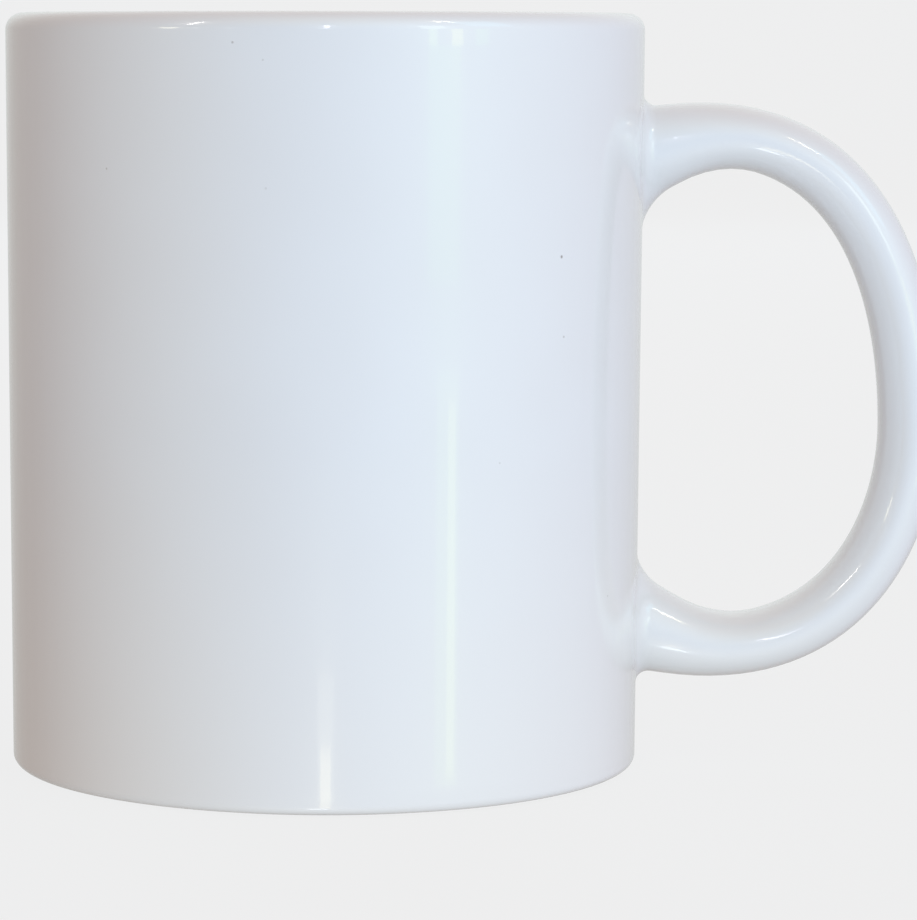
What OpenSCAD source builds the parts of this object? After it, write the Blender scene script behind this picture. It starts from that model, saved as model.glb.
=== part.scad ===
// Plain white ceramic mug with a C-shaped loop handle, a blank for heat-transfer printing.
// Millimetres. The origin is on the cup's axis, on the plane that the mug stands on.
// +Z is up and +X points from the axis through the handle.
// The clay parts are drawn under a coat of glaze, so every outside size is taken over the glaze.

/* [Cup] */
// Height from the table to the top of the lip
mug_height = 97.2; // [88:0.1:120]
// Outside diameter at the lip
rim_d = 82; // [68:0.1:99]
// How much smaller the outside diameter is at the foot
taper = 0.9; // [0:0.1:4]
// Thickness of the clay wall
wall = 3.8; // [2.5:0.1:6]
// Thickness of the clay floor
floor_t = 5.2; // [3.5:0.1:9]
// Radius of the hollow corner between the inside wall and the floor
inside_round = 8; // [3:0.5:15]

/* [Foot] */
// Width of the bare ring that the mug stands on
foot_ring_w = 4; // [2:0.5:8]
// Distance from the outside of the cup in to the bare ring
foot_inset = 3; // [2:0.5:6]
// How far the bare ring stands down from the clay underside
foot_stand = 0.7; // [0.5:0.1:2]
// Radius of the outside bottom corner of the clay
foot_round = 0.9; // [0.4:0.1:3]
// Depth of the recess inside the ring
recess_depth = 1.8; // [1:0.1:4]
// Radius of the hollow corner in the recess
recess_round = 1; // [0.5:0.1:1.5]

/* [Glaze] */
// Thickness of every coat of glaze
glaze = 0.3; // [0.2:0.05:0.4]
// How far the glaze stops short of the standing plane and of the bare ring
glaze_stop = 0.3; // [0.1:0.1:0.4]

/* [Handle] */
// Width of the handle, across the loop
handle_w = 12; // [8:0.5:20]
// Thickness of the handle, in the plane of the loop
handle_t = 8; // [6:0.1:14]
// Distance from the wall out to the handle's centre line where it is furthest
handle_reach = 34.9; // [29:0.1:45]
// Height of the furthest point of the loop
handle_belly = 44; // [40:0.5:52]
// Distance from the top of the lip down to the centre of the upper joint
upper_root_drop = 16.1; // [14:0.1:22]
// Height of the centre of the lower joint
lower_root_rise = 16.3; // [13:0.1:22]
// Rise of the handle for each millimetre out from the upper joint
upper_slope = 0.19; // [0:0.01:0.3]
// Fall of the handle for each millimetre out from the lower joint
lower_slope = 0.22; // [0:0.01:0.3]
// How strongly the upper half runs straight out before it turns down
upper_pull = 30.8; // [20:0.1:36]
// How strongly the lower half runs straight out before it turns up
lower_pull = 26.5; // [20:0.1:36]
// Length of the straighter stretch on each side of the furthest point
belly_pull = 13.5; // [8:0.1:20]
// Extra thickness at the joints, towards the inside of the loop
root_flare = 4.0; // [0:0.1:7]
// Distance from the wall over which that extra thickness fades out
flare_len = 16.4; // [8:0.1:22]

/* [Slip] */
// Thickness of the layer of slip between the handle and the wall
slip_t = 0.5; // [0.3:0.1:1]
// Radius of the hollow fillet of slip round each joint
slip_round = 2.2; // [1:0.1:3]

/* [Hidden] */

clay_colour = [0.88, 0.85, 0.80];
slip_colour = [0.82, 0.78, 0.72];
glaze_colour = [0.93, 0.95, 0.97];

turn_fn = 192;         // facets of a full turn, where a preview needs them
corner_steps = 8;      // chords in a quarter-round corner
lip_steps = 12;        // chords in each half of the lip
sides = 24;            // points round the handle
half_stations = 22;    // stations along each half of the handle
fillet_steps = 4;      // chords across a slip fillet
seat_allowance = 1.23; // seat_gap times the cup's radius: flat facets stray more from a tighter curve
window_margin = 0.5;   // distance from the slip fillet out to the edge of the glaze window
disc_shares = [0.1, 0.4, 0.7, 1];   // sizes of the rings that close an end against the wall

// Cup
rim_r = rim_d / 2;
foot_r = rim_r - taper / 2;
inner_r = rim_r - glaze - wall;
lip_r = wall / 2;
lip_x = inner_r + lip_r;
lip_z = mug_height - glaze - lip_r;
corner_x = foot_r - glaze - foot_round;
corner_z = foot_stand + foot_round;
floor_z = recess_depth + floor_t;
ring_out_r = foot_r - foot_inset;
ring_in_r = ring_out_r - foot_ring_w;
lean = (rim_r - foot_r) / (lip_z - corner_z);    // growth of the radius with height
seat_gap = seat_allowance / rim_r;    // space between the slip and the wall, and between slip and handle

// Handle
upper_root_z = mug_height - upper_root_drop;
belly_x = rim_r + handle_reach;
upper_curve = [[rim_r, upper_root_z],
               [rim_r + upper_pull, upper_root_z + upper_slope * upper_pull],
               [belly_x, handle_belly + belly_pull],
               [belly_x, handle_belly]];
lower_curve = [[belly_x, handle_belly],
               [belly_x, handle_belly - belly_pull],
               [rim_r + lower_pull, lower_root_rise - lower_slope * lower_pull],
               [rim_r, lower_root_rise]];
root_clear = slip_round + 1.6;             // path length that each joint takes up at the wall
upper_start = root_clear / (3 * upper_pull);
lower_start = root_clear / (3 * lower_pull);
probe = 0.01;                              // step along a curve that gives its direction

// ---- Cup outlines: each line runs along the clay, moved out by g ----

function arc(centre, r, from, to, steps) =
    [for (i = [0:steps]) let (a = from + (to - from) * i / steps) centre + r * [cos(a), sin(a)]];

function reversed(list) = [for (i = [len(list) - 1:-1:0]) list[i]];

// Outside radius of the glazed wall at height z
function wall_r(z) = foot_r + lean * (z - corner_z);

function outside_line(g, start_x) = concat(
    [[start_x, foot_stand - g]],
    arc([corner_x, corner_z], foot_round + g, -90, 0, corner_steps),
    arc([lip_x, lip_z], lip_r + g, 0, 90, lip_steps));

function inside_line(g) = concat(
    arc([lip_x, lip_z], lip_r + g, 90, 180, lip_steps),
    arc([inner_r - inside_round, floor_z + inside_round], inside_round - g, 0, -90, corner_steps),
    [[0, floor_z + g]]);

function recess_line(g, end_z) = concat(
    [[0, recess_depth - g]],
    arc([ring_in_r - recess_round, recess_depth - recess_round], recess_round - g, 90, 0, corner_steps),
    [[ring_in_r - g, end_z]]);

// A coat of glaze is the band between a line on the clay and the same line moved out
module coat(on_clay, moved_out) {
    rotate_extrude($fn = turn_fn) polygon(concat(moved_out, reversed(on_clay)));
}

// ---- Handle: rings of points round a curved centre line ----

function bezier(p, u) =
    pow(1 - u, 3) * p[0] + 3 * u * pow(1 - u, 2) * p[1] + 3 * u * u * (1 - u) * p[2] + pow(u, 3) * p[3];

function bezier_way(p, u) =
    3 * pow(1 - u, 2) * (p[1] - p[0]) + 6 * u * (1 - u) * (p[2] - p[1]) + 3 * u * u * (p[3] - p[2]);

function unit(v) = v / norm(v);

// Extra thickness at distance x from the cup's axis
function flare(x) = root_flare * pow(max(0, 1 - (x - rim_r) / flare_len), 2);

// Points of the oval section at u on curve p, inset by g, in order round the handle
function station(p, u, g) =
    let (c = bezier(p, u), way = unit(bezier_way(p, u)), out = [-way[1], way[0]],
         extra = flare(c[0]), half_h = (handle_t + extra) / 2 - g, half_w = handle_w / 2 - g)
    [for (k = [0:sides - 1]) let (a = 360 * k / sides, q = c + out * (half_h * cos(a) - extra / 2))
        [q[0], half_w * sin(a), q[1]]];

// Directions square to the outside of the handle at the joint, across the wall, as [y, z]
function root_normals(p, u, g) =
    let (s = station(p, u, g))
    [for (k = [0:sides - 1])
        let (run = s[(k + 1) % sides] - s[(k + sides - 1) % sides], n = unit([run[2], -run[1]]))
        n * sign(n * ([s[k][1], s[k][2]] - [0, bezier(p, u)[1]]))];

// Points where the handle, run straight on, is e away from the clay wall
function root_ring(p, u, next_u, g, e) =
    let (here = station(p, u, g), next = station(p, next_u, g))
    [for (k = [0:sides - 1])
        let (q = here[k], v = here[k] - next[k], r = wall_r(q[2]) - glaze + e, grow = lean * v[2],
             a = v[0] * v[0] + v[1] * v[1] - grow * grow,
             b = q[0] * v[0] + q[1] * v[1] - r * grow,
             c = q[0] * q[0] + q[1] * q[1] - r * r)
        q + v * (-b - sqrt(b * b - a * c)) / a];

// The [y, z] points of a ring, moved d out along the normals, and laid on the wall raised by e
function on_wall(ring, normals, d, e) =
    [for (k = [0:len(ring) - 1])
        let (yz = [ring[k][1], ring[k][2]] + d * normals[k], r = wall_r(yz[1]) - glaze + e)
        [sqrt(r * r - yz[0] * yz[0]), yz[0], yz[1]]];

// The same ring drawn in towards its middle, still on the wall raised by e
function shrunk(ring, share, e) =
    let (mid = (ring[0][2] + ring[sides / 2][2]) / 2)
    [for (q = ring)
        let (y = q[1] * share, z = mid + (q[2] - mid) * share, r = wall_r(z) - glaze + e)
        [sqrt(r * r - y * y), y, z]];

// A fillet from the wall up to the handle, g above the slip
function fillet(p, u, next_u, g) =
    let (r = slip_round - g, n = root_normals(p, u, glaze - g))
    [for (i = [0:fillet_steps])
        let (a = 90 * i / fillet_steps, e = max(seat_gap, g + r * (1 - cos(a))))
        on_wall(root_ring(p, u, next_u, glaze - g, e), n, r * (1 - sin(a)), e)];

// The edge of the window in the outside glaze, g above the clay
function window_ring(p, u, next_u, g) =
    let (n = root_normals(p, u, glaze), base = root_ring(p, u, next_u, glaze, 0))
    on_wall(base, n, slip_round + window_margin, max(seat_gap, g));

// Rings of the free part of the handle, from the upper joint to the lower one
function free_rings(g) = concat(
    [for (i = [0:half_stations])
        station(upper_curve, upper_start + (1 - upper_start) * i / half_stations, g)],
    [for (i = [1:half_stations])
        station(lower_curve, (1 - lower_start) * i / half_stations, g)]);

function upper_fillet(g) = fillet(upper_curve, upper_start, upper_start + probe, g);
function lower_fillet(g) = fillet(lower_curve, 1 - lower_start, 1 - lower_start - probe, g);

function upper_end(g, e) = root_ring(upper_curve, upper_start, upper_start + probe, g, e);
function lower_end(g, e) = root_ring(lower_curve, 1 - lower_start, 1 - lower_start - probe, g, e);

function upper_window(g) = window_ring(upper_curve, upper_start, upper_start + probe, g);
function lower_window(g) = window_ring(lower_curve, 1 - lower_start, 1 - lower_start - probe, g);

// One side of the handle's coat, g above the clay, from one window over the handle to the other
function coat_rings(g) = concat([upper_window(g)], upper_fillet(g), free_rings(glaze - g),
                                reversed(lower_fillet(g)), [lower_window(g)]);

// A disc on the wall raised by e that closes a ring, as rings from small to full size
function end_disc(ring, e) = [for (share = disc_shares) shrunk(ring, share, e)];

// A solid through a list of rings; loop joins the last ring to the first instead of closing the ends.
// Each four-sided patch is split along its shorter diagonal, so layers that share rings also fit.
module ring_solid(rings, loop = false) {
    m = len(rings[0]);
    n = len(rings);
    points = [for (r = rings) each r];
    walls = [for (i = [0:loop ? n - 1 : n - 2], k = [0:m - 1])
        let (a = i * m + k, b = i * m + (k + 1) % m, j = (i + 1) % n * m, c = j + (k + 1) % m, d = j + k)
        each norm(points[a] - points[c]) < norm(points[b] - points[d])
            ? [[a, b, c], [a, c, d]]
            : [[b, c, d], [b, d, a]]];
    ends = loop ? [] : [[for (k = [m - 1:-1:0]) k], [for (k = [0:m - 1]) (n - 1) * m + k]];
    polyhedron(points, concat(walls, ends), convexity = 6);
}

// ---- Parts ----

module cup_body() {
    color(clay_colour)
    rotate_extrude($fn = turn_fn)
    polygon(concat(recess_line(0, 0), [[ring_out_r, 0]], outside_line(0, ring_out_r), inside_line(0)));
}

module handle() {
    top = upper_end(glaze, slip_t + seat_gap);
    bottom = lower_end(glaze, slip_t + seat_gap);
    color(clay_colour)
    ring_solid(concat(end_disc(top, slip_t + seat_gap), [upper_end(glaze, slip_round)],
                      free_rings(glaze), [lower_end(glaze, slip_round)],
                      reversed(end_disc(bottom, slip_t + seat_gap))));
}

// Slip squeezed between the handle's end and the wall, with a hollow fillet round it
module slip_joint(fillet_rings, socket_ring, seat_ring) {
    color(slip_colour)
    ring_solid(concat([for (i = [0:len(disc_shares) - 2]) shrunk(fillet_rings[0], disc_shares[i], seat_gap)],
                      fillet_rings, [socket_ring], reversed(end_disc(seat_ring, slip_t))));
}

module upper_slip_joint() {
    slip_joint(upper_fillet(0), upper_end(glaze, slip_t + seat_gap), upper_end(glaze, slip_t));
}

module lower_slip_joint() {
    slip_joint([for (r = lower_fillet(0)) reversed(r)], reversed(lower_end(glaze, slip_t + seat_gap)),
               reversed(lower_end(glaze, slip_t)));
}

// A hole through the outside glaze, square to the loop's plane, where a joint comes through
module window(ring) {
    translate([rim_r / 2, 0, 0])
    rotate([90, 0, 90])
    linear_extrude(rim_r)
    polygon([for (q = ring) [q[1], q[2]]]);
}

module outside_glaze() {
    start_x = ring_out_r + glaze_stop;
    color(glaze_colour)
    difference() {
        coat(outside_line(0, start_x), outside_line(glaze, start_x));
        window(upper_window(0));
        window(lower_window(0));
    }
}

module inside_glaze() {
    color(glaze_colour)
    coat(inside_line(0), inside_line(glaze));
}

module base_glaze() {
    color(glaze_colour)
    coat(reversed(recess_line(0, glaze_stop)), reversed(recess_line(glaze, glaze_stop)));
}

// The coat on the handle and over both slip fillets, as far as the windows in the outside glaze
module handle_glaze() {
    color(glaze_colour)
    ring_solid(concat(coat_rings(glaze), reversed(coat_rings(0))), loop = true);
}

cup_body();
handle();
upper_slip_joint();
lower_slip_joint();
outside_glaze();
inside_glaze();
handle_glaze();
base_glaze();
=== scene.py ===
# %% [markdown]
# # A plain white mug
# This lesson dresses a measured mug in Blender. The clay, the slip and the glaze were drawn as exact
# solids, and they load here as a fixed frame. The frame gives every size. Blender adds what an exact
# solid can't carry: one unbroken glossy skin that flows from the wall into the handle, the small
# faults of a fired glaze, the bare clay foot, and the light.

# %% Load the frame
import math
import bmesh
import bpy
from mathutils import Matrix, Vector


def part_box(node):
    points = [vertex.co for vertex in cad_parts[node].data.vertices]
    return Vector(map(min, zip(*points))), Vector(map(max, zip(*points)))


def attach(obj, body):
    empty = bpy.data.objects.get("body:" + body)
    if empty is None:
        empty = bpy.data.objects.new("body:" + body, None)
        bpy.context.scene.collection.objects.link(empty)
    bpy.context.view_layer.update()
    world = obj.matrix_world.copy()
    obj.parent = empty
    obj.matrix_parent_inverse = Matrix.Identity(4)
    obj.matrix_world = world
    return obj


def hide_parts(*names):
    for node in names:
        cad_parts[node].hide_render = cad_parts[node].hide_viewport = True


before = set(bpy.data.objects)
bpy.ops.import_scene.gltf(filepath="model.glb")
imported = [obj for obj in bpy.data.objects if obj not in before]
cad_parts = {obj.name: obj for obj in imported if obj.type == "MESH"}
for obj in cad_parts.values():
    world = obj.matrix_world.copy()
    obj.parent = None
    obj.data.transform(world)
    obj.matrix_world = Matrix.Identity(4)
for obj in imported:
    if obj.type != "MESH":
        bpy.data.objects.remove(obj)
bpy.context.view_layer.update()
print("nodes:", ", ".join(sorted(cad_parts)))

# %% [markdown]
# ## Reading sizes from the solids
# Nothing here is guessed again. The outside of the glaze, the outside of the clay, the hollow and the
# foot are all corners of some node's box, so the new skin follows if a solid changes. A box doesn't show
# how far the wall leans, how far the glaze goes in under the foot, or how round a corner is. Those four
# sizes are typed, and they agree with the solids.

# %% Sizes of the cup
outside_low, outside_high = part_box("outside_glaze")
inside_low, inside_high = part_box("inside_glaze")
clay_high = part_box("cup_body")[1]

rim_r = outside_high.y
height = outside_high.z
glaze = rim_r - clay_high.y
lip_crest_r = inside_high.y
lip_r = rim_r - lip_crest_r
inner_r = lip_crest_r - lip_r
floor_z = inside_low.z + glaze
skirt_z = outside_low.z
print(f"lip {2000 * rim_r:.1f} mm across, {1000 * height:.1f} mm high, glaze {1000 * glaze:.2f} mm")
print(f"lip radius {1000 * lip_r:.2f} mm, hollow {2000 * inner_r:.1f} mm across")

# %% Sizes that a box can't show
TAPER, UNDER_FOOT = 0.0009, 0.0027
FOOT_ROUND, INSIDE_ROUND = 0.0012, 0.0077

foot_r = rim_r - TAPER / 2
skirt_r = foot_r - UNDER_FOOT
print(f"foot {2000 * foot_r:.1f} mm across, glazed from {2000 * skirt_r:.1f} mm outwards")

# %% [markdown]
# ## A pen for outlines
# A cup is a turned shape: one outline, spun about an axis. The outline could be typed as a list of
# points, but arcs made of typed numbers are hard to change. A pen is kinder. It pulls one vertex along:
# `line` extrudes it straight, and `turn` spins it about a centre, which leaves a true arc behind.


# %% The pen
SAME_PLACE = 1e-7


class Pen:
    """Draws an outline in the XZ plane by extruding and spinning its last vertex."""

    def __init__(self, bm, x, z):
        self.bm = bm
        self.tip = bm.verts.new((x, 0, z))

    def line(self, x, z, steps=1):
        start = self.tip.co.copy()
        for i in range(1, steps + 1):
            made = bmesh.ops.extrude_vert_indiv(self.bm, verts=[self.tip])
            self.tip = made["verts"][0]
            self.tip.co = start.lerp(Vector((x, 0, z)), i / steps)

    def turn(self, x, z, degrees, steps):
        made = bmesh.ops.spin(self.bm, geom=[self.tip], cent=(x, 0, z), axis=(0, -1, 0),
                              angle=math.radians(degrees), steps=steps, use_merge=False)
        self.tip = [v for v in made["geom_last"] if isinstance(v, bmesh.types.BMVert)][0]


def spun(bm, steps):
    """Turns the outline about the Z axis into a closed skin."""
    bmesh.ops.spin(bm, geom=bm.verts[:] + bm.edges[:], cent=(0, 0, 0), axis=(0, 0, 1),
                   angle=2 * math.pi, steps=steps, use_merge=True)
    bmesh.ops.remove_doubles(bm, verts=bm.verts[:], dist=SAME_PLACE)


def finished(bm, name):
    """Makes an object of a bmesh, smooth all over."""
    for face in bm.faces:
        face.smooth = True
    mesh = bpy.data.meshes.new(name)
    bm.to_mesh(mesh)
    bm.free()
    piece = bpy.data.objects.new(name, mesh)
    bpy.context.scene.collection.objects.link(piece)
    print(f"{name}: {len(mesh.vertices)} vertices, {len(mesh.polygons)} faces")
    return piece


def thickened(piece):
    """Gives a skin the thickness of the glaze, inwards."""
    solid = piece.modifiers.new("thickness", "SOLIDIFY")
    solid.thickness = glaze
    solid.offset = -1
    return piece


# %% [markdown]
# ## The outside of the cup
# The glaze starts a little way in from the foot's edge, because potters wipe the ring that touches the
# kiln shelf. It rounds the bottom corner, climbs the wall and rolls over the lip as far as its crest.
# The wall is cut into rows so that two windows can be opened in it for the handle. The last half degree
# of the lip is its own short step, so that the edge's shading points straight up and the inside coat can
# meet it with no line between them.

# %% Spin the outside
TURN_STEPS, WALL_ROWS = 192, 46
FOOT_STEPS, LIP_STEPS = 8, 14
LIP_SEAM = 0.5

cup = bmesh.new()
pen = Pen(cup, skirt_r, skirt_z)
pen.line(foot_r - FOOT_ROUND, skirt_z, 2)
pen.turn(foot_r - FOOT_ROUND, skirt_z + FOOT_ROUND, 90, FOOT_STEPS)
wall_foot = pen.tip.co.copy()
pen.line(rim_r, height - lip_r, WALL_ROWS)
wall_top = pen.tip.co.copy()
pen.turn(lip_crest_r, height - lip_r, 90 - LIP_SEAM, LIP_STEPS)
pen.turn(lip_crest_r, height - lip_r, LIP_SEAM, 1)
spun(cup, TURN_STEPS)
print("outside skin:", len(cup.faces), "faces")


# %% The wall as a formula
def wall_r(z):
    """Radius of the glazed wall at height z: it leans out a little towards the lip."""
    share = (z - wall_foot.z) / (wall_top.z - wall_foot.z)
    return wall_foot.x + (wall_top.x - wall_foot.x) * share


print(f"wall {1000 * wall_r(height / 2):.2f} mm from the axis at half height")

# %% [markdown]
# ## The handle's path
# A mug handle is a bar of clay bent to a C and pressed on while soft. Two cubic curves carry its centre
# line: one from the upper joint to the furthest point, one back to the lower joint. The bar thickens
# towards the inside of the loop near both joints, where the potter pushes it home. These values are the
# ones that the solid handle was drawn with.

# %% The path
REACH, BELLY_Z, BELLY_PULL = 0.0349, 0.0440, 0.0135
UPPER_Z, UPPER_SLOPE, UPPER_PULL = height - 0.0161, 0.19, 0.0308
LOWER_Z, LOWER_SLOPE, LOWER_PULL = 0.0163, 0.22, 0.0265
BAR_T, BAR_W = 0.0080, 0.0120
ROOT_FLARE, FLARE_LEN = 0.0040, 0.0164
ROOT_CLEAR = 0.0038

belly_x = rim_r + REACH
upper_half = [Vector((rim_r, 0, UPPER_Z)),
              Vector((rim_r + UPPER_PULL, 0, UPPER_Z + UPPER_SLOPE * UPPER_PULL)),
              Vector((belly_x, 0, BELLY_Z + BELLY_PULL)),
              Vector((belly_x, 0, BELLY_Z))]
lower_half = [Vector((belly_x, 0, BELLY_Z)),
              Vector((belly_x, 0, BELLY_Z - BELLY_PULL)),
              Vector((rim_r + LOWER_PULL, 0, LOWER_Z - LOWER_SLOPE * LOWER_PULL)),
              Vector((rim_r, 0, LOWER_Z))]


def station(curve, u):
    """A matrix that carries a unit circle in XY to the bar's oval section at u on a curve."""
    p0, p1, p2, p3 = curve
    place = (1 - u)**3 * p0 + 3 * u * (1 - u)**2 * p1 + 3 * u * u * (1 - u) * p2 + u**3 * p3
    way = (1 - u)**2 * (p1 - p0) + 2 * u * (1 - u) * (p2 - p1) + u * u * (p3 - p2)
    way.normalize()
    out = Vector((-way.z, 0, way.x))
    flare = ROOT_FLARE * max(0.0, 1 - (place.x - rim_r) / FLARE_LEN)**2
    across = out * (BAR_T + flare) / 2
    side = Vector((0, BAR_W / 2, 0))
    return Matrix.Translation(place - out * flare / 2) @ Matrix((across, side, way)).transposed().to_4x4()


upper_start = ROOT_CLEAR / (3 * UPPER_PULL)
lower_end = 1 - ROOT_CLEAR / (3 * LOWER_PULL)
STATIONS = 36
stops = [station(upper_half, upper_start + (1 - upper_start) * i / STATIONS) for i in range(STATIONS)]
stops += [station(lower_half, lower_end * i / STATIONS) for i in range(STATIONS + 1)]
print(len(stops), "stations along the handle, which reaches", round(1000 * belly_x, 1), "mm from the axis")

# %% [markdown]
# ## Two windows in the wall
# The handle could be pushed through the wall and left to overlap, but glaze never shows a hard line
# there. So the wall gets a window at each joint, the bar is pulled from one window to the other, and each
# end spreads in a fillet that lands flat on the wall. Both windows have the same number of edges, so the
# bar keeps one number of sides all the way.

# %% Cut the windows
WINDOW_HALF_W = 0.0100
WINDOW_ROWS = 11
row_h = (wall_top.z - wall_foot.z) / WALL_ROWS


def cut_window(bm, centre_z):
    """Deletes a patch of wall faces and returns the edges round the hole."""
    first = round((centre_z - wall_foot.z) / row_h - WINDOW_ROWS / 2)
    low = wall_foot.z + first * row_h
    high = low + WINDOW_ROWS * row_h
    patch = []
    for face in bm.faces:
        middle = face.calc_center_median()
        if middle.x > 0 and abs(middle.y) < WINDOW_HALF_W and low < middle.z < high:
            patch.append(face)
    rim = {e for f in patch for e in f.edges if sum(g in patch for g in e.link_faces) == 1}
    bmesh.ops.delete(bm, geom=patch, context="FACES")
    print(f"window at {1000 * centre_z:.0f} mm: {len(patch)} faces out, {len(rim)} edges round it")
    return [e for e in rim if e.is_valid]


upper_window = cut_window(cup, UPPER_Z - ROOT_FLARE / 2)
lower_window = cut_window(cup, LOWER_Z + ROOT_FLARE / 2)
bar_sides = len(upper_window)

# %% [markdown]
# ## Pulling the handle
# A circle with as many sides as a window has edges is set at the first station. Then the same two moves
# repeat: extrude the last ring, and carry the new ring to the next station with one matrix. The ring is
# kept as an ordered list, so that a point can always be told from its neighbours.


# %% Pull the bar from joint to joint
def ring_edges(bm, ring):
    """The edges between the vertices of an ordered ring."""
    return [bm.edges.get((a, b)) for a, b in zip(ring, ring[1:] + ring[:1])]


def next_ring(bm, ring):
    """Extrudes an ordered ring and returns the new one in the same order."""
    made = bmesh.ops.extrude_edge_only(bm, edges=ring_edges(bm, ring))["geom"]
    fresh = {g for g in made if isinstance(g, bmesh.types.BMVert)}
    return [next(e.other_vert(v) for e in v.link_edges if e.other_vert(v) in fresh) for v in ring]


first_ring = list(bmesh.ops.create_circle(cup, segments=bar_sides, radius=1.0, cap_ends=False)["verts"])
bmesh.ops.transform(cup, matrix=stops[0], verts=first_ring)
ring = first_ring
for here, there in zip(stops, stops[1:]):
    ring = next_ring(cup, ring)
    bmesh.ops.transform(cup, matrix=there @ here.inverted(), verts=ring)
last_ring = ring
print("bar:", bar_sides, "sides,", len(cup.faces), "faces so far")

# %% [markdown]
# ## Fillets at the joints
# The potter wipes slip round each joint with a fingertip, so the corner is a hollow quarter round. The
# bar's end goes on as more rings. Each ring is a little nearer to the wall and a little wider, as the
# sine and cosine of a quarter turn say, and the last one lies flat on the wall. A bevel would do on a
# plain corner, but this corner opens and closes as it goes round the bar. The fingertip also leaves more
# slip inside the loop than outside it, so the radius grows towards the inside.

# %% Spread the ends
FILLET_R = 0.0019
UPPER_EXTRA, LOWER_EXTRA = 0.0018, 0.0011
FILLET_STEPS = 9
SLIDE_STEPS = 6
NEARBY = 0.01


def above_wall(place, lift):
    """The same place, moved along X until it is lift above the wall."""
    r = wall_r(place.z) + lift
    return Vector((math.sqrt(r * r - place.y * place.y), place.y, place.z))


def slid(start, way, lift):
    """start, moved along way until it is lift above the wall."""
    place = start.copy()
    for _ in range(SLIDE_STEPS):
        flat = Vector((place.x, place.y, 0))
        place += way * (flat.length - wall_r(place.z) - lift) / -way.dot(flat.normalized())
    return place


def spread(bm, ring, stop, before, inward, extra):
    """Ends the bar in a quarter-round fillet and returns the ring that lies on the wall.

    stop is the bar's last station and before is one a little further from the wall, so that together
    they tell which way each point is going. inward is 1 or -1, for up or down to the inside of the loop,
    and extra is the radius added there.
    """
    starts = [v.co.copy() for v in ring]
    ways = [(s - before @ stop.inverted() @ s).normalized() for s in starts]
    feet = [slid(s, way, 0) for s, way in zip(starts, ways)]
    middle = sum(feet, Vector()) / len(feet)
    runs = [b - a for a, b in zip(feet[-1:] + feet[:-1], feet[1:] + feet[:1])]
    sides = [Vector((0, run.z, -run.y)).normalized() for run in runs]
    sides = [side if side.dot(foot - middle) > 0 else -side for side, foot in zip(sides, feet)]
    radii = [FILLET_R + extra * max(0.0, side.z * inward)**2 for side in sides]
    for i in range(FILLET_STEPS + 1):
        turn = math.radians(90 * (1 - i / FILLET_STEPS))
        ring = next_ring(bm, ring)
        for v, start, way, side, radius in zip(ring, starts, ways, sides, radii):
            lift, wide = radius * (1 - math.cos(turn)), radius * (1 - math.sin(turn))
            v.co = above_wall(slid(start, way, lift) + side * wide, lift)
    return ring


upper_foot = spread(cup, first_ring, stops[0], station(upper_half, upper_start + NEARBY), -1, UPPER_EXTRA)
lower_foot = spread(cup, last_ring, stops[-1], station(lower_half, lower_end - NEARBY), 1, LOWER_EXTRA)
for name, window, foot in (("upper", upper_window, upper_foot), ("lower", lower_window, lower_foot)):
    edge = [v.co.z for e in window for v in e.verts]
    room = min(max(edge) - max(v.co.z for v in foot), min(v.co.z for v in foot) - min(edge))
    print(f"{name} fillet: {FILLET_STEPS} steps, {1000 * room:.1f} mm inside its window")

# %% [markdown]
# ## Closing the wall
# Bridging joins each window to the fillet that stands in it. The new faces are flat and the wall isn't,
# so they are cut finer and every point of them is put back on the wall. Otherwise the glossy wall would
# show dents round the handle.


# %% Close the wall round the joints
SPOKE_CUTS = 2
spokes = []
upper_edge, lower_edge = ring_edges(cup, upper_foot), ring_edges(cup, lower_foot)
for window, foot in ((upper_window, upper_edge), (lower_window, lower_edge)):
    shore = {v for e in window for v in e.verts}
    made = bmesh.ops.bridge_loops(cup, edges=window + foot)
    spokes += [e for e in made["edges"] if (e.verts[0] in shore) != (e.verts[1] in shore)]
cut = bmesh.ops.subdivide_edges(cup, edges=spokes, cuts=SPOKE_CUTS, use_grid_fill=True)
fresh = [g for g in cut["geom_inner"] if isinstance(g, bmesh.types.BMVert)]
for v in fresh:
    v.co = above_wall(v.co, 0)
print("closed with", len(spokes), "spokes;", len(fresh), "new points put on the wall")
bmesh.ops.recalc_face_normals(cup, faces=cup.faces[:])
outside_coat = thickened(finished(cup, "outside_coat"))
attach(outside_coat, "root")
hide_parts("outside_glaze", "handle_glaze")

# %% [markdown]
# ## The inside of the cup
# The same pen draws the hollow: over the lip, down the wall, round the bottom corner and in to the middle.
# It is its own piece because many mugs are glazed in a second colour inside.

# %% Spin the inside
CORNER_STEPS = 14

hollow = bmesh.new()
pen = Pen(hollow, lip_crest_r, height)
pen.turn(lip_crest_r, height - lip_r, LIP_SEAM, 1)
pen.turn(lip_crest_r, height - lip_r, 90 - LIP_SEAM, LIP_STEPS)
pen.line(inner_r, floor_z + INSIDE_ROUND, 6)
pen.turn(inner_r - INSIDE_ROUND, floor_z + INSIDE_ROUND, -90, CORNER_STEPS)
pen.line(0, floor_z, 5)
spun(hollow, TURN_STEPS)
bmesh.ops.recalc_face_normals(hollow, faces=hollow.faces[:])
inside_coat = thickened(finished(hollow, "inside_coat"))
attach(inside_coat, "root")
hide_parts("inside_glaze")

# %% [markdown]
# ## Arithmetic on sockets
# A fired finish is a sum of small things: a slow waviness, a fine orange peel, a few pinholes. In the node
# editor each sum is a Math node and four clicks. Here a tiny class wraps a socket, and Python's own signs
# add the Math nodes, so a recipe reads like a formula. Everything that isn't arithmetic goes through one
# method, `node`, that takes the node's type, its settings, and what goes into its sockets.


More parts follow.
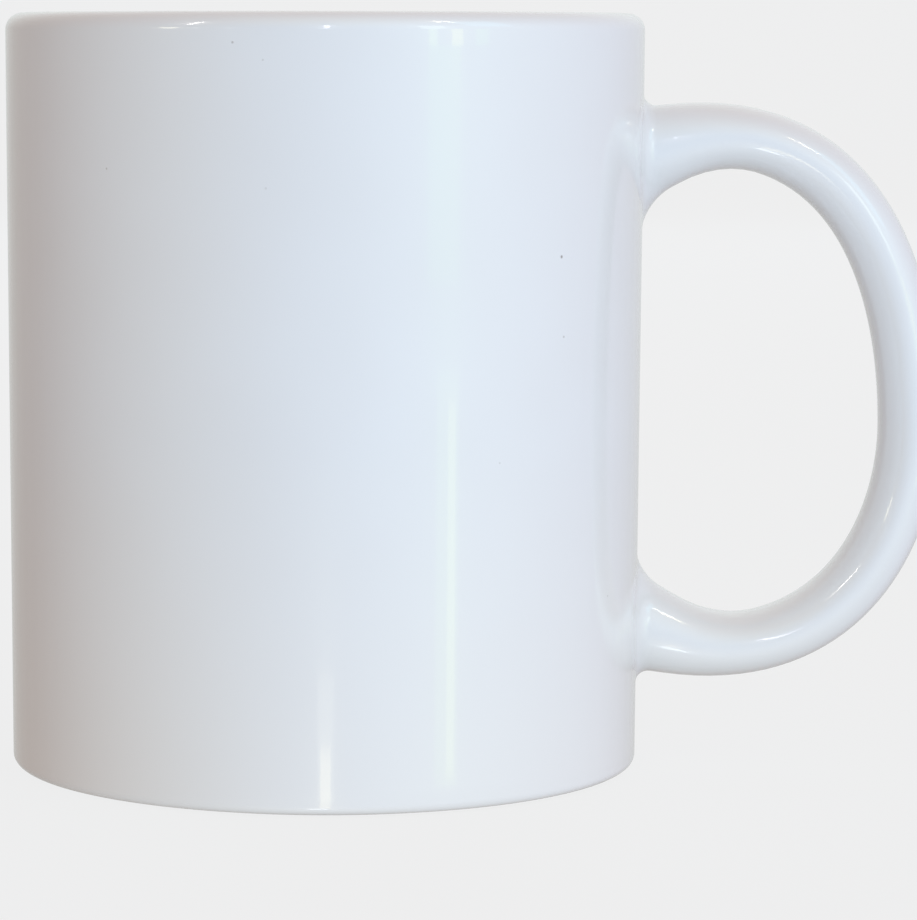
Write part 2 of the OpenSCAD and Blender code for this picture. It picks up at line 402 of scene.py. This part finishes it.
# %% Amounts and finishes
class Amount:
    """A number that varies over a surface; + - * ** and > on it add Math nodes."""

    def __init__(self, board, socket):
        self.board, self.socket = board, socket

    def math(self, operation, first, second):
        made = self.board.node("ShaderNodeMath", {"operation": operation}, {0: first, 1: second})
        return Amount(self.board, made.outputs[0])

    def __add__(self, other):
        return self.math("ADD", self, other)

    def __sub__(self, other):
        return self.math("SUBTRACT", self, other)

    def __rsub__(self, other):
        return self.math("SUBTRACT", other, self)

    def __mul__(self, other):
        return self.math("MULTIPLY", self, other)

    def __pow__(self, other):
        return self.math("POWER", self, other)

    def __gt__(self, other):
        return self.math("GREATER_THAN", self, other)

    __radd__, __rmul__ = __add__, __mul__


class Board:
    """A board of shader nodes."""

    def __init__(self, tree):
        self.tree = tree

    def node(self, kind, settings=None, sockets=None):
        """Adds a node, then its settings, then what goes into its sockets."""
        made = self.tree.nodes.new(kind)
        for name, value in (settings or {}).items():
            setattr(made, name, value)
        for name, value in (sockets or {}).items():
            self.put(made.inputs[name], value)
        return made

    def put(self, socket, value):
        """Links a socket to another one, or sets its number or colour."""
        value = value.socket if isinstance(value, Amount) else value
        if isinstance(value, bpy.types.NodeSocket):
            self.tree.links.new(value, socket)
        else:
            socket.default_value = value


class Finish(Board):
    """A material built round one Principled shader, with patterns on Object coordinates."""

    def __init__(self, name):
        self.material = bpy.data.materials.new(name)
        self.material.use_nodes = True
        super().__init__(self.material.node_tree)
        self.shader = self.tree.nodes["Principled BSDF"]
        self.place = self.node("ShaderNodeTexCoord").outputs["Object"]

    def set(self, **values):
        """Sets the shader's own sockets; coat_weight=1 sets Coat Weight."""
        for name, value in values.items():
            self.put(self.shader.inputs[name.replace("_", " ").title().replace("Ior", "IOR")], value)

    def noise(self, per_metre, detail=2.0, rough=0.5):
        made = self.node("ShaderNodeTexNoise", {"noise_dimensions": "3D"},
                         {"Vector": self.place, "Scale": per_metre, "Detail": detail, "Roughness": rough})
        return Amount(self, made.outputs["Fac"])

    def spots(self, cell, radius, share):
        """Soft round spots of a radius in metres, in a share of cells of a given size."""
        made = self.node("ShaderNodeTexVoronoi", {"feature": "F1", "distance": "EUCLIDEAN"},
                         {"Vector": self.place, "Scale": 1 / cell, "Randomness": 0.9})
        pick = self.node("ShaderNodeSeparateColor", None, {"Color": made.outputs["Color"]})
        chosen = Amount(self, pick.outputs["Red"]) > 1 - share
        edge = self.node("ShaderNodeMapRange", {"interpolation_type": "SMOOTHSTEP"},
                         {"Value": made.outputs["Distance"], "From Min": 0.35 * radius / cell,
                          "From Max": radius / cell, "To Min": 1.0, "To Max": 0.0})
        return Amount(self, edge.outputs["Result"]) * chosen

    def lowness(self, high):
        """1 at the foot, falling to 0 at a height in metres."""
        place = self.node("ShaderNodeSeparateXYZ", None, {"Vector": self.place})
        made = self.node("ShaderNodeMapRange", {"interpolation_type": "LINEAR"},
                         {"Value": place.outputs["Z"], "From Min": 0.0, "From Max": high,
                          "To Min": 1.0, "To Max": 0.0})
        return Amount(self, made.outputs["Result"])

    def pit(self, angle, high, radius):
        """One soft round pit on the wall; angle 0 faces the camera, 90 faces the handle."""
        a, r = math.radians(angle), wall_r(high)
        away = self.node("ShaderNodeVectorMath", {"operation": "DISTANCE"},
                         {0: self.place, 1: (r * math.sin(a), -r * math.cos(a), high)})
        edge = self.node("ShaderNodeMapRange", {"interpolation_type": "SMOOTHSTEP"},
                         {"Value": away.outputs["Value"], "From Min": 0.3 * radius, "From Max": radius,
                          "To Min": 1.0, "To Max": 0.0})
        return Amount(self, edge.outputs["Result"])

    def blend(self, share, first, second):
        made = self.node("ShaderNodeMix", {"data_type": "RGBA"}, {"Factor": share, 6: first, 7: second})
        return made.outputs[2]

    def bump(self, height):
        """height is in metres."""
        made = self.node("ShaderNodeBump", None, {"Strength": 1.0, "Distance": 1.0, "Height": height})
        self.put(self.shader.inputs["Normal"], made.outputs["Normal"])


def grey(value, warm=0.0):
    """A near-neutral colour; warm above 0 leans to cream, below 0 to blue."""
    return (value * (1 + warm), value, value * (1 - warm), 1.0)


# %% [markdown]
# ## The glazes
# White glaze is a thin glass over pale clay. Close up it is never quite flat: it levels out with a slow
# waviness that makes a window's reflection swim a little, and a fine orange peel on top. Where gas left
# the clay there is a pinhole, a dot about half a millimetre across at most, with painted shade in its
# pit. Low on the wall the colour is painted warmer, as painted bounce light from a warm surface below.
# The outside of this mug also carries a clear print coat, a second gloss over the first, so the outside
# finish has a Principled coat. The two glazes share one recipe and differ in that coat and in how smooth
# they are. A few pinholes are scattered by chance, and the four that catch the eye on the wall have
# places of their own.


# %% Mix the glazes
WARM_BOUNCE_PAINT, PIT_PAINTED_SHADE = (0.828, 0.803, 0.770, 1.0), (0.20, 0.16, 0.12, 1)
WARM_BOUNCE_BELOW = 0.046
WAVE, PEEL, DIMPLE, PINHOLE = 2.2e-5, 1.6e-6, 5e-6, 5e-5


def mix_glaze(name, roughness, coat, pits):
    finish = Finish(name)
    pooled = finish.noise(70, detail=1.0)
    pinholes = finish.spots(cell=0.00155, radius=0.00020, share=0.0035) * 0.6
    for angle, high, radius, depth in pits:
        pinholes += finish.pit(angle, high, radius) * depth
    dimples = finish.spots(cell=0.0021, radius=0.0007, share=0.012)
    tint = finish.blend(pooled, grey(0.78, 0.004), grey(0.81, -0.006))
    # Below a height the colour turns warmer: painted bounce light from a warm surface under the mug.
    tint = finish.blend(finish.lowness(WARM_BOUNCE_BELOW), tint, WARM_BOUNCE_PAINT)
    # The pinholes are darkened with painted shade in their pits.
    finish.set(base_color=finish.blend(pinholes * 0.75, tint, PIT_PAINTED_SHADE),
               roughness=roughness + 0.05 * finish.noise(160) + 0.3 * pinholes,
               ior=1.5, coat_weight=coat, coat_roughness=0.035, coat_ior=1.5)
    waviness = finish.noise(38, detail=0.0) * WAVE
    peel = finish.noise(420, detail=1.0) * PEEL
    finish.bump(waviness + peel - dimples * DIMPLE - pinholes * PINHOLE)
    print(name, "roughness about", roughness, "coat", coat)
    return finish.material


# angle in degrees, height, radius, depth
PITS = [(45.0, 0.0675, 0.00027, 1.0), (31.4, 0.0428, 0.00018, 0.3),
        (-10.4, 0.0914, 0.00017, 0.35), (-9.9, 0.0762, 0.00022, 0.22)]
coated_glaze = mix_glaze("coated_glaze", roughness=0.16, coat=1.0, pits=PITS)
white_glaze = mix_glaze("white_glaze", roughness=0.07, coat=0.0, pits=[])

# %% [markdown]
# ## Clay and slip
# The wiped foot ring is the one place where the fired clay shows. It is matt and off-white, with a fine
# grit, a few iron specks, and faint grey rubbing where it has stood on shelves. The slip in the joints is
# the same clay, finer, and wholly under the glaze.


# %% Mix the clay and the slip
IRON, SMUDGED_ABOVE = (0.22, 0.14, 0.09, 1), 0.56


def mix_clay(name, light, grit, rubbed):
    finish = Finish(name)
    grain = finish.noise(2400, detail=3.0, rough=0.7)
    cloud = finish.noise(90, detail=2.0)
    specks = finish.spots(cell=0.0009, radius=0.00016, share=0.03)
    body = finish.blend(grain, grey(light * 0.93, 0.045), grey(light * 1.05, 0.03))
    smudged = finish.blend((cloud > SMUDGED_ABOVE) * rubbed, body, grey(light * 0.72, 0.01))
    finish.set(base_color=finish.blend(specks * 0.7, smudged, IRON),
               roughness=0.82 + 0.12 * grain, ior=1.45)
    finish.bump(grain * grit + finish.noise(700) * grit)
    print(name, "mixed")
    return finish.material


bare_clay = mix_clay("bare_clay", light=0.72, grit=2.4e-5, rubbed=0.35)
fired_slip = mix_clay("fired_slip", light=0.70, grit=0.8e-5, rubbed=0.0)

# %% Dress the pieces
for name, finish in {"cup_body": bare_clay, "handle": bare_clay, "upper_slip_joint": fired_slip,
                     "lower_slip_joint": fired_slip, "base_glaze": white_glaze}.items():
    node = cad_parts[name]
    node.data.materials.clear()
    node.data.materials.append(finish)
outside_coat.data.materials.append(coated_glaze)
inside_coat.data.materials.append(white_glaze)
print("every piece has its finish")

# %% [markdown]
# ## The floor
# The floor is one pale sheet that sweeps up behind the mug, so there is no edge for the eye to catch. It
# glows by itself, which keeps it even, and it is hidden from the mug, so that all the light on the mug
# comes from the room and the lamps. From below it is clear, so that the foot can be looked at.

# %% The floor and its sweep
FLOOR_HALF, FLOOR_WIDE, FLOOR_DROP = 1.6, 5.0, 1e-5
SWEEP_R, SWEEP_STEPS = 0.6, 16

floor_bm = bmesh.new()
pen = Pen(floor_bm, -FLOOR_HALF, 0.0)
pen.line(FLOOR_HALF, 0.0)
bmesh.ops.rotate(floor_bm, cent=(0, 0, 0), matrix=Matrix.Rotation(math.pi / 2, 3, "Z"),
                 verts=floor_bm.verts[:])
far_end = max(floor_bm.verts, key=lambda v: v.co.y)
bmesh.ops.spin(floor_bm, geom=[far_end], cent=(0, FLOOR_HALF, SWEEP_R), axis=(1, 0, 0),
               angle=math.pi / 2, steps=SWEEP_STEPS, use_merge=False)
wide = bmesh.ops.extrude_edge_only(floor_bm, edges=floor_bm.edges[:])["geom"]
bmesh.ops.translate(floor_bm, vec=(FLOOR_WIDE, 0, 0),
                    verts=[g for g in wide if isinstance(g, bmesh.types.BMVert)])
bmesh.ops.translate(floor_bm, vec=(-FLOOR_WIDE / 2, 0, -FLOOR_DROP), verts=floor_bm.verts[:])
bmesh.ops.recalc_face_normals(floor_bm, faces=floor_bm.faces[:])
if sum(f.normal.z for f in floor_bm.faces) < 0:
    bmesh.ops.reverse_faces(floor_bm, faces=floor_bm.faces[:])
floor = finished(floor_bm, "floor")
floor.visible_glossy = floor.visible_diffuse = floor.visible_shadow = False

# %% Its paper
FLOOR_GLOW = 0.819
paper = Finish("paper_floor")
paper.set(base_color=grey(0.05), roughness=1.0, specular_ior_level=0.0,
          emission_color=grey(1.0, -0.004), emission_strength=FLOOR_GLOW)
clear = paper.node("ShaderNodeBsdfTransparent")
under = paper.node("ShaderNodeNewGeometry")
sheet = paper.node("ShaderNodeMixShader", None, {0: under.outputs["Backfacing"],
                                                 1: paper.shader.outputs[0], 2: clear.outputs[0]})
paper.put(paper.tree.nodes["Material Output"].inputs["Surface"], sheet.outputs[0])
floor.data.materials.append(paper.material)
print("floor glows", FLOOR_GLOW)

# %% [markdown]
# ## The room
# White gloss is mostly a picture of its room. This room has no walls, only soft glows that fade into each
# other, and each is a direction, a sharpness and a colour. A cool window glows in front on the right, and
# the left of the room is dimmer and warmer.

# %% Light the room
def heading(azimuth, elevation):
    """A direction; azimuth 0 is towards the camera, 90 is on the handle's side."""
    a, e = math.radians(azimuth), math.radians(elevation)
    return Vector((math.sin(a) * math.cos(e), -math.cos(a) * math.cos(e), math.sin(e)))


# name: azimuth, elevation, sharpness, colour
GLOWS = {
    "window": (45, 15, 10, (1.04, 1.30, 1.37)),
    "front": (0, 0, 6, (0.00, 0.23, 0.58)),
    "front_high": (0, 50, 10, (0.37, 0.42, 0.27)),
    "front_low": (0, -40, 10, (0.82, 0.81, 0.73)),
    "left": (-60, 0, 6, (0.37, 0.41, 0.34)),
    "right": (100, 0, 6, (0.49, 0.58, 0.72)),
    "back": (180, 20, 6, (0.60, 0.77, 0.79)),
    "ceiling": (0, 90, 4, (0.37, 0.29, 0.28)),
    "ground": (0, -90, 4, (0.28, 0.42, 0.44)),
    "wide": (0, 0, 0, (0.15, 0.03, 0.00)),
}
world = bpy.data.worlds.new("room")
bpy.context.scene.world = world
world.use_nodes = True
room = Board(world.node_tree)
toward = room.node("ShaderNodeTexCoord").outputs["Generated"]
total = (0, 0, 0)
for name, (azimuth, elevation, sharpness, colour) in GLOWS.items():
    facing = room.node("ShaderNodeVectorMath", {"operation": "DOT_PRODUCT"},
                       {0: toward, 1: heading(azimuth, elevation)})
    strength = (0.5 + 0.5 * Amount(room, facing.outputs["Value"])) ** sharpness
    glow = room.node("ShaderNodeVectorMath", {"operation": "SCALE", "label": name},
                     {0: colour, "Scale": strength})
    total = room.node("ShaderNodeVectorMath", {"operation": "ADD"}, {0: total, 1: glow.outputs[0]}).outputs[0]
room.put(world.node_tree.nodes["Background"].inputs["Color"], total)
print(len(GLOWS), "glows in the room")

# %% [markdown]
# ## Strips and sparks
# Each upright glint on the wall is two lights that overlap, a wide weak one and a narrow one, which
# together fade out sideways as a real glint does. Faint panes stand in the wall, and small lamps give the
# sparks on the lip and on the handle. The lip bends so fast that it squeezes a lamp to a thin line, so
# most of its lamps are tall. All of these are kept out of the plain shading, so that only gloss sees them.
# One wide panel behind does the opposite. It lifts the far side out of the shade and stays out of the
# gloss.


# %% Hang the small lights
LIGHT_AWAY = 1.5
MUG_MIDDLE = Vector((0, 0, 0.048))
WATTS_PER_AREA = 4


def flat_light(name, azimuth, elevation, wide, tall, colour):
    """A flat light as bright as its colour says; its width and height are given in degrees."""
    data = bpy.data.lights.new(name, "AREA")
    data.shape = "RECTANGLE"
    data.size = 2 * LIGHT_AWAY * math.tan(math.radians(wide / 2))
    data.size_y = 2 * LIGHT_AWAY * math.tan(math.radians(tall / 2))
    data.energy = max(colour) * WATTS_PER_AREA * data.size * data.size_y
    data.color = [c / max(colour) for c in colour]
    light = bpy.data.objects.new(name, data)
    way = heading(azimuth, elevation)
    light.location = MUG_MIDDLE + way * LIGHT_AWAY
    light.rotation_euler = way.to_track_quat("Z", "Y").to_euler()
    light.visible_camera = False
    bpy.context.scene.collection.objects.link(light)
    return light


# name: azimuth, elevation, width, height, colour
SMALL_LIGHTS = {
    "tall_glint": (45.5, -9.0, 2.9, 7.0, (0.64, 0.74, 0.12)),
    "tall_glint_halo": (43.9, -8.8, 8.4, 7.8, (0.18, 0.38, 0.03)),
    "column": (42.0, -0.9, 12.0, 4.8, (0.05, 0.34, 0.0)),
    "foot_glint": (0.5, -22.0, 3.6, 20.0, (1.8, 1.55, 0.88)),
    "foot_glint_halo": (0.6, -13.6, 5.6, 6.0, (0.52, 0.52, 0.40)),
    "left_pane": (37.5, 4.7, 3.0, 6.6, (0.65, 1.00, 0.12)),
    "right_pane": (46.5, 4.7, 4.2, 6.6, (1.15, 1.15, 0.08)),
    "far_pane": (56.0, 4.6, 5.0, 6.2, (0.15, 0.50, 0.0)),
    "tall_window": (38.0, 16.0, 9.0, 16.0, (0.95, 1.15, 0.95)),
    "cool_window": (62.0, 33.0, 16.0, 26.0, (0.15, 0.50, 0.65)),
    "lip_line": (-56.0, 11.0, 7.0, 5.0, (3.6, 3.4, 2.4)),
    "lip_spark": (-51.0, 35.0, 1.7, 16.0, (13.0, 12.5, 11.5)),
    "lip_dot": (-45.6, 9.5, 0.9, 5.0, (3.0, 3.0, 3.0)),
    "lip_second_dot": (-33.0, 9.5, 1.0, 5.0, (2.4, 2.4, 2.4)),
    "front_spark": (0.6, 18.0, 2.0, 18.0, (5.0, 4.8, 5.6)),
    "warm_spark": (49.5, 48.0, 1.1, 8.0, (10.0, 8.6, 5.6)),
    "cool_spark": (53.5, 46.0, 1.2, 8.0, (9.0, 9.0, 8.5)),
    "low_spark": (-2.0, -38.0, 6.0, 8.0, (3.0, 3.2, 3.3)),
}
for name, values in SMALL_LIGHTS.items():
    flat_light(name, *values).visible_diffuse = False
flat_light("far_side_panel", 180, 28, 44, 40, (0.75, 0.92, 1.08)).visible_glossy = False
bpy.context.scene.view_settings.view_transform = "Standard"

# %% [markdown]
# ## The camera
# A long lens half a metre away, just under the height of the lip and tipped six degrees down. It faces
# the cup's axis squarely, so both walls lean alike, and the frame is shifted sideways to take in the
# handle, as a view camera's is. The turns are written as one frame of right, up and back, which is easier
# to check than angles applied in order.

# %% Set the camera
CAMERA_DISTANCE, CAMERA_HEIGHT = 0.5103, 0.09375
TILT, ROLL = 0.1060, 0.0016
LENS, SIDE_SHIFT = 154.45, 0.1457
ahead = Vector((0, 1, 0))
right = Vector((1, 0, 0))
up = ahead * math.sin(TILT) + Vector((0, 0, math.cos(TILT)))
back = Vector((0, 0, math.sin(TILT))) - ahead * math.cos(TILT)
level_right = right * math.cos(ROLL) + up * math.sin(ROLL)
level_up = up * math.cos(ROLL) - right * math.sin(ROLL)

camera_data = bpy.data.cameras.new("camera")
camera_data.lens = LENS
camera_data.shift_x = SIDE_SHIFT
camera_data.clip_start, camera_data.clip_end = 0.01, 50
camera = bpy.data.objects.new("camera", camera_data)
camera.matrix_world = (Matrix.Translation((0, -CAMERA_DISTANCE, CAMERA_HEIGHT))
                       @ Matrix((level_right, level_up, back)).transposed().to_4x4())
bpy.context.scene.collection.objects.link(camera)
bpy.context.scene.camera = camera
print("camera looks from", [round(1000 * x) for x in camera.location], "mm")
